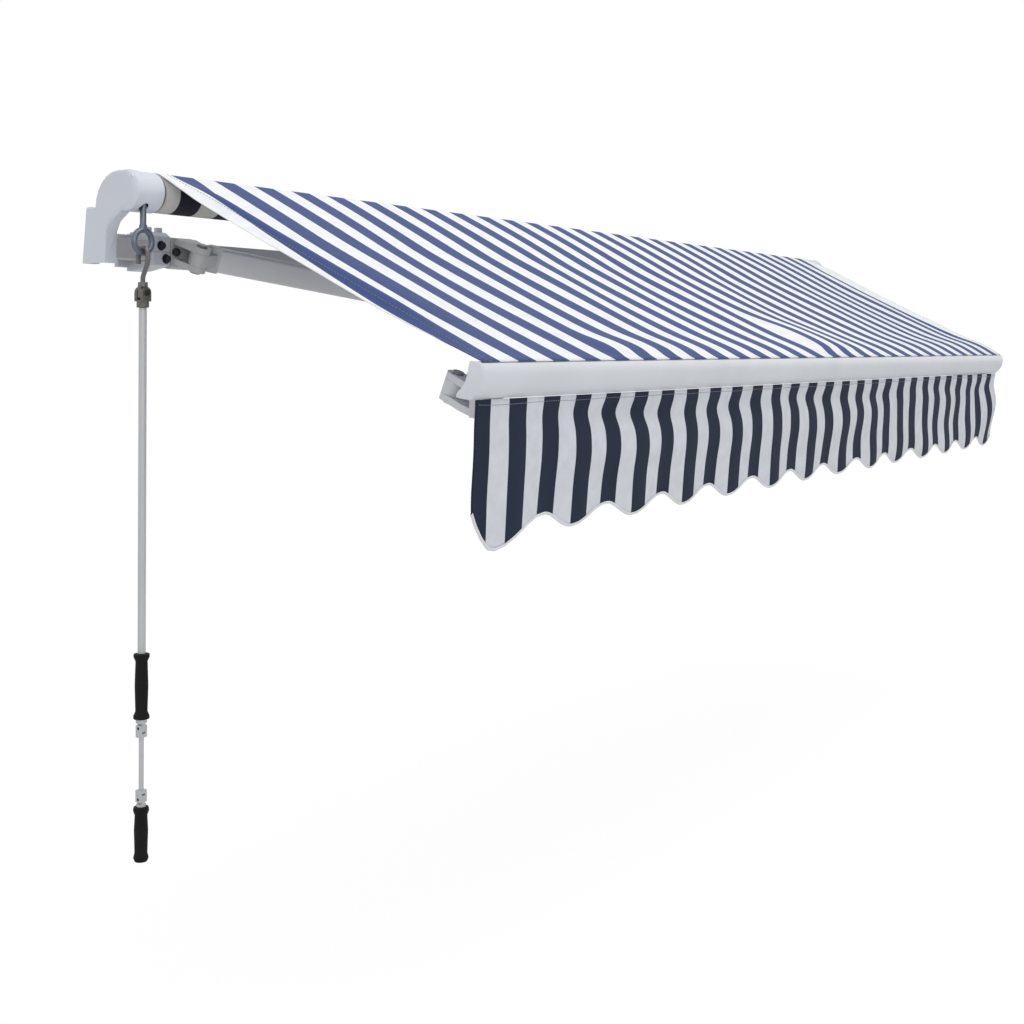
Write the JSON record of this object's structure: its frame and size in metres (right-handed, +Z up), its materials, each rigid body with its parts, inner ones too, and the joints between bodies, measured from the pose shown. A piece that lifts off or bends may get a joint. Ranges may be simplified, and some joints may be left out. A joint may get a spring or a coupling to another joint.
{
  "type": "canvas awning",
  "caption": "Wall-hung folding-arm awning, part open: striped canvas on a roller, elbowed arms, front bar with a scalloped valance, and a hooked hand crank on a worm gear.",
  "frame": {"origin": "on the wall plane, midway between the wall brackets, at the height of the torsion bar's axis", "axes": "+Z up, +X along the roller towards the end without the crank, -Y out from the wall"},
  "size_m": [2.996, 0.7372, 1.1199],
  "materials": {
    "bar_grey": "satin powder coat",
    "arm_grey": "satin powder coat",
    "casting_grey": "matt coated casting",
    "front_light": "satin powder coat",
    "cover_plastic": "moulded, fine texture",
    "plug_plastic": "moulded",
    "plate_steel": "zinc plated",
    "pin_steel": "plated, dull",
    "bolt_dark": "dark coated",
    "eye_steel": "dark zinc",
    "crank_steel": "dull plated",
    "knuckle_zinc": "olive grey passivated",
    "crank_rod_light": "satin",
    "grip_black": "matt",
    "canvas": "woven acrylic, equal blue and white stripes"
  },
  "bodies": {
    "wall_frame": {"torsion_bar": "bar_grey", "wall_bracket_l": "casting_grey", "wall_bracket_r": "casting_grey", "bracket_keeper_l": "casting_grey", "bracket_keeper_r": "casting_grey", "shoulder_base_l": "casting_grey", "shoulder_base_r": "casting_grey", "roller_arm_l": "plate_steel", "roller_arm_r": "plate_steel", "shoulder_pin_l": "pin_steel", "shoulder_pin_r": "pin_steel", "tilt_bolt_l": "bolt_dark", "tilt_bolt_r": "bolt_dark", "gear_housing": "bolt_dark", "end_cover_l": "cover_plastic", "end_cover_r": "cover_plastic", "canopy": "canvas"},
    "roller": {"roller_tube": "plate_steel", "gear_wheel": "plate_steel", "roller_plug_l": "plug_plastic", "roller_plug_r": "plug_plastic", "cloth_roll": "canvas"},
    "upper_arm_left": {"upper_tube_l": "arm_grey", "upper_root_l": "casting_grey", "upper_elbow_l": "casting_grey", "elbow_pin_l": "pin_steel"},
    "upper_arm_right": {"upper_tube_r": "arm_grey", "upper_root_r": "casting_grey", "upper_elbow_r": "casting_grey", "elbow_pin_r": "pin_steel"},
    "forearm_left": {"fore_tube_l": "arm_grey", "fore_elbow_l": "casting_grey", "fore_front_l": "casting_grey"},
    "forearm_right": {"fore_tube_r": "arm_grey", "fore_elbow_r": "casting_grey", "fore_front_r": "casting_grey"},
    "front": {"front_bar": "front_light", "front_cap_l": "cover_plastic", "front_cap_r": "cover_plastic", "front_bracket_l": "casting_grey", "front_bracket_r": "casting_grey", "front_pin_l": "pin_steel", "front_pin_r": "pin_steel", "valance": "canvas"},
    "worm": {"worm_eye": "eye_steel"},
    "crank_top": {"crank_hook": "crank_steel", "knuckle_pin": "pin_steel"},
    "crank_shaft": {"knuckle": "knuckle_zinc", "crank_rod": "crank_rod_light", "fold_pin_top": "pin_steel"},
    "grip_upper": {"upper_grip": "grip_black"},
    "crank_lever": {"crank_arm": "crank_rod_light", "fold_pin_low": "pin_steel"},
    "crank_end": {"grip_spindle": "crank_rod_light"},
    "grip_lower": {"lower_grip": "grip_black"}
  },
  "joints": [
    {"name": "shoulder_left", "type": "hinge", "parent": "wall_frame", "child": "upper_arm_left", "pos_m": [-1.322, -0.096, -0.012], "axis": [0, -0.366, 0.9306], "range_deg": [-41, 22], "deforming": ["canopy"]},
    {"name": "elbow_left", "type": "hinge", "parent": "upper_arm_left", "child": "forearm_left", "pos_m": [-0.6835, -0.363, -0.117], "axis": [0, -0.366, 0.9306], "range_deg": [-45, 83]},
    {"name": "front_left", "type": "hinge", "parent": "forearm_left", "child": "front", "pos_m": [-1.322, -0.63, -0.222], "axis": [0, -0.366, 0.9306], "range_deg": [-42, 23]},
    {"name": "shoulder_right", "type": "hinge", "parent": "wall_frame", "child": "upper_arm_right", "pos_m": [1.322, -0.096, -0.012], "axis": [0, -0.366, 0.9306], "range_deg": [-23, 42]},
    {"name": "elbow_right", "type": "hinge", "parent": "upper_arm_right", "child": "forearm_right", "pos_m": [0.6835, -0.363, -0.117], "axis": [0, -0.366, 0.9306], "range_deg": [-83, 45]},
    {"name": "roller_spin", "type": "hinge", "parent": "wall_frame", "child": "roller", "pos_m": [-1.47, -0.1, 0.09], "axis": [1, 0, 0], "continuous": true},
    {"name": "worm_spin", "type": "hinge", "parent": "wall_frame", "child": "worm", "pos_m": [-1.47, -0.118, 0.09], "axis": [0, 0, 1], "continuous": true},
    {"name": "crank_swing", "type": "hinge", "parent": "worm", "child": "crank_top", "pos_m": [-1.47, -0.118, -0.011], "axis": [1, 0, 0], "range_deg": [-60, 4]},
    {"name": "knuckle_hinge", "type": "hinge", "parent": "crank_top", "child": "crank_shaft", "pos_m": [-1.47, -0.118, -0.075], "axis": [0, 1, 0], "range_deg": [-40, 40]},
    {"name": "upper_grip_spin", "type": "hinge", "parent": "crank_shaft", "child": "grip_upper", "pos_m": [-1.47, -0.118, -0.7], "axis": [0, 0, 1], "continuous": true},
    {"name": "crank_fold", "type": "hinge", "parent": "crank_shaft", "child": "crank_lever", "pos_m": [-1.47, -0.118, -0.78], "axis": [1, 0, 0], "range_deg": [-90, 0]},
    {"name": "grip_fold", "type": "hinge", "parent": "crank_lever", "child": "crank_end", "pos_m": [-1.47, -0.118, -0.895], "axis": [1, 0, 0], "range_deg": [0, 90]},
    {"name": "lower_grip_spin", "type": "hinge", "parent": "crank_end", "child": "grip_lower", "pos_m": [-1.47, -0.118, -0.95], "axis": [0, 0, 1], "continuous": true}
  ],
  "couplings": [
    {"joint": "shoulder_right", "follows": "shoulder_left", "ratio": -1},
    {"joint": "elbow_left", "follows": "shoulder_left", "ratio": -2},
    {"joint": "elbow_right", "follows": "shoulder_left", "ratio": 2},
    {"joint": "front_left", "follows": "shoulder_left", "ratio": 1},
    {"joint": "worm_spin", "follows": "roller_spin", "ratio": 18}
  ]
}
